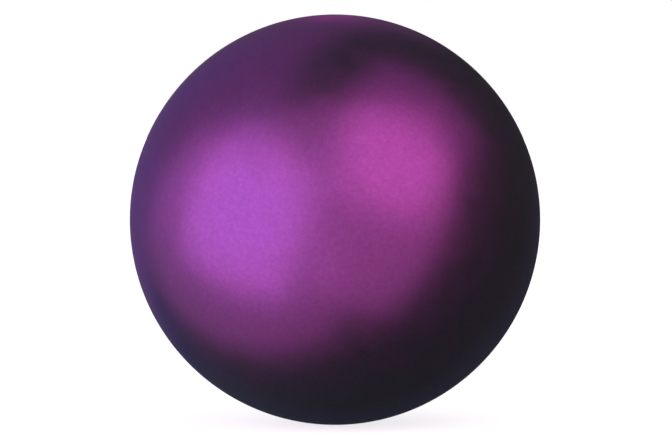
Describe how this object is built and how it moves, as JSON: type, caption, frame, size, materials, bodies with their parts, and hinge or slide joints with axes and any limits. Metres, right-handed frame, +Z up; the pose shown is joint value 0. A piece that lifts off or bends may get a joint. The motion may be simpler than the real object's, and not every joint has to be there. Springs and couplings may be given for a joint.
{
  "type": "bowling ball",
  "caption": "Drilled ten-pin bowling ball with a moulded shell and core, finger inserts, and a pull-out thumb slug held by a quarter-turn lock.",
  "frame": {"origin": "centre of the ball", "axes": "+Z up as the ball rests, on a small flat under it; -Y towards the bare side that the picture shows; the grip's middle points halfway between -X and +Y, the thumb hole close to -X and the finger holes close to +Y"},
  "size_m": [0.2172, 0.2172, 0.2172],
  "materials": {
    "pearl_resin": "satin-sanded dark purple pearl",
    "filler_resin": "moulded, not seen",
    "dense_resin": "moulded, not seen",
    "denser_resin": "moulded, not seen",
    "pin_resin": "sanded flush with the ball",
    "mark_resin": "sanded flush with the ball",
    "insert_rubber": "matt soft vinyl",
    "sleeve_plastic": "satin",
    "slug_plastic": "satin urethane",
    "lock_steel": "turned"
  },
  "bodies": {
    "ball": {"coverstock": "pearl_resin", "outer_core": "filler_resin", "weight_block": "dense_resin", "flip_block": "denser_resin", "locator_pin": "pin_resin", "cg_mark": "mark_resin", "middle_finger_insert": "insert_rubber", "ring_finger_insert": "insert_rubber", "thumb_sleeve": "sleeve_plastic"},
    "slug": {"thumb_slug": "slug_plastic"},
    "lock": {"lock_spindle": "lock_steel", "lock_bar": "lock_steel", "lock_screw": "lock_steel"}
  },
  "joints": [
    {"name": "thumb_pull", "type": "slide", "parent": "ball", "child": "slug", "axis": [-0.9829, 0.184, 0], "range_m": [0, 0.07]},
    {"name": "lock_turn", "type": "hinge", "parent": "slug", "child": "lock", "pos_m": [-0.04915, 0.0092, 0], "axis": [-0.9829, 0.184, 0], "range_deg": [0, 90]}
  ]
}
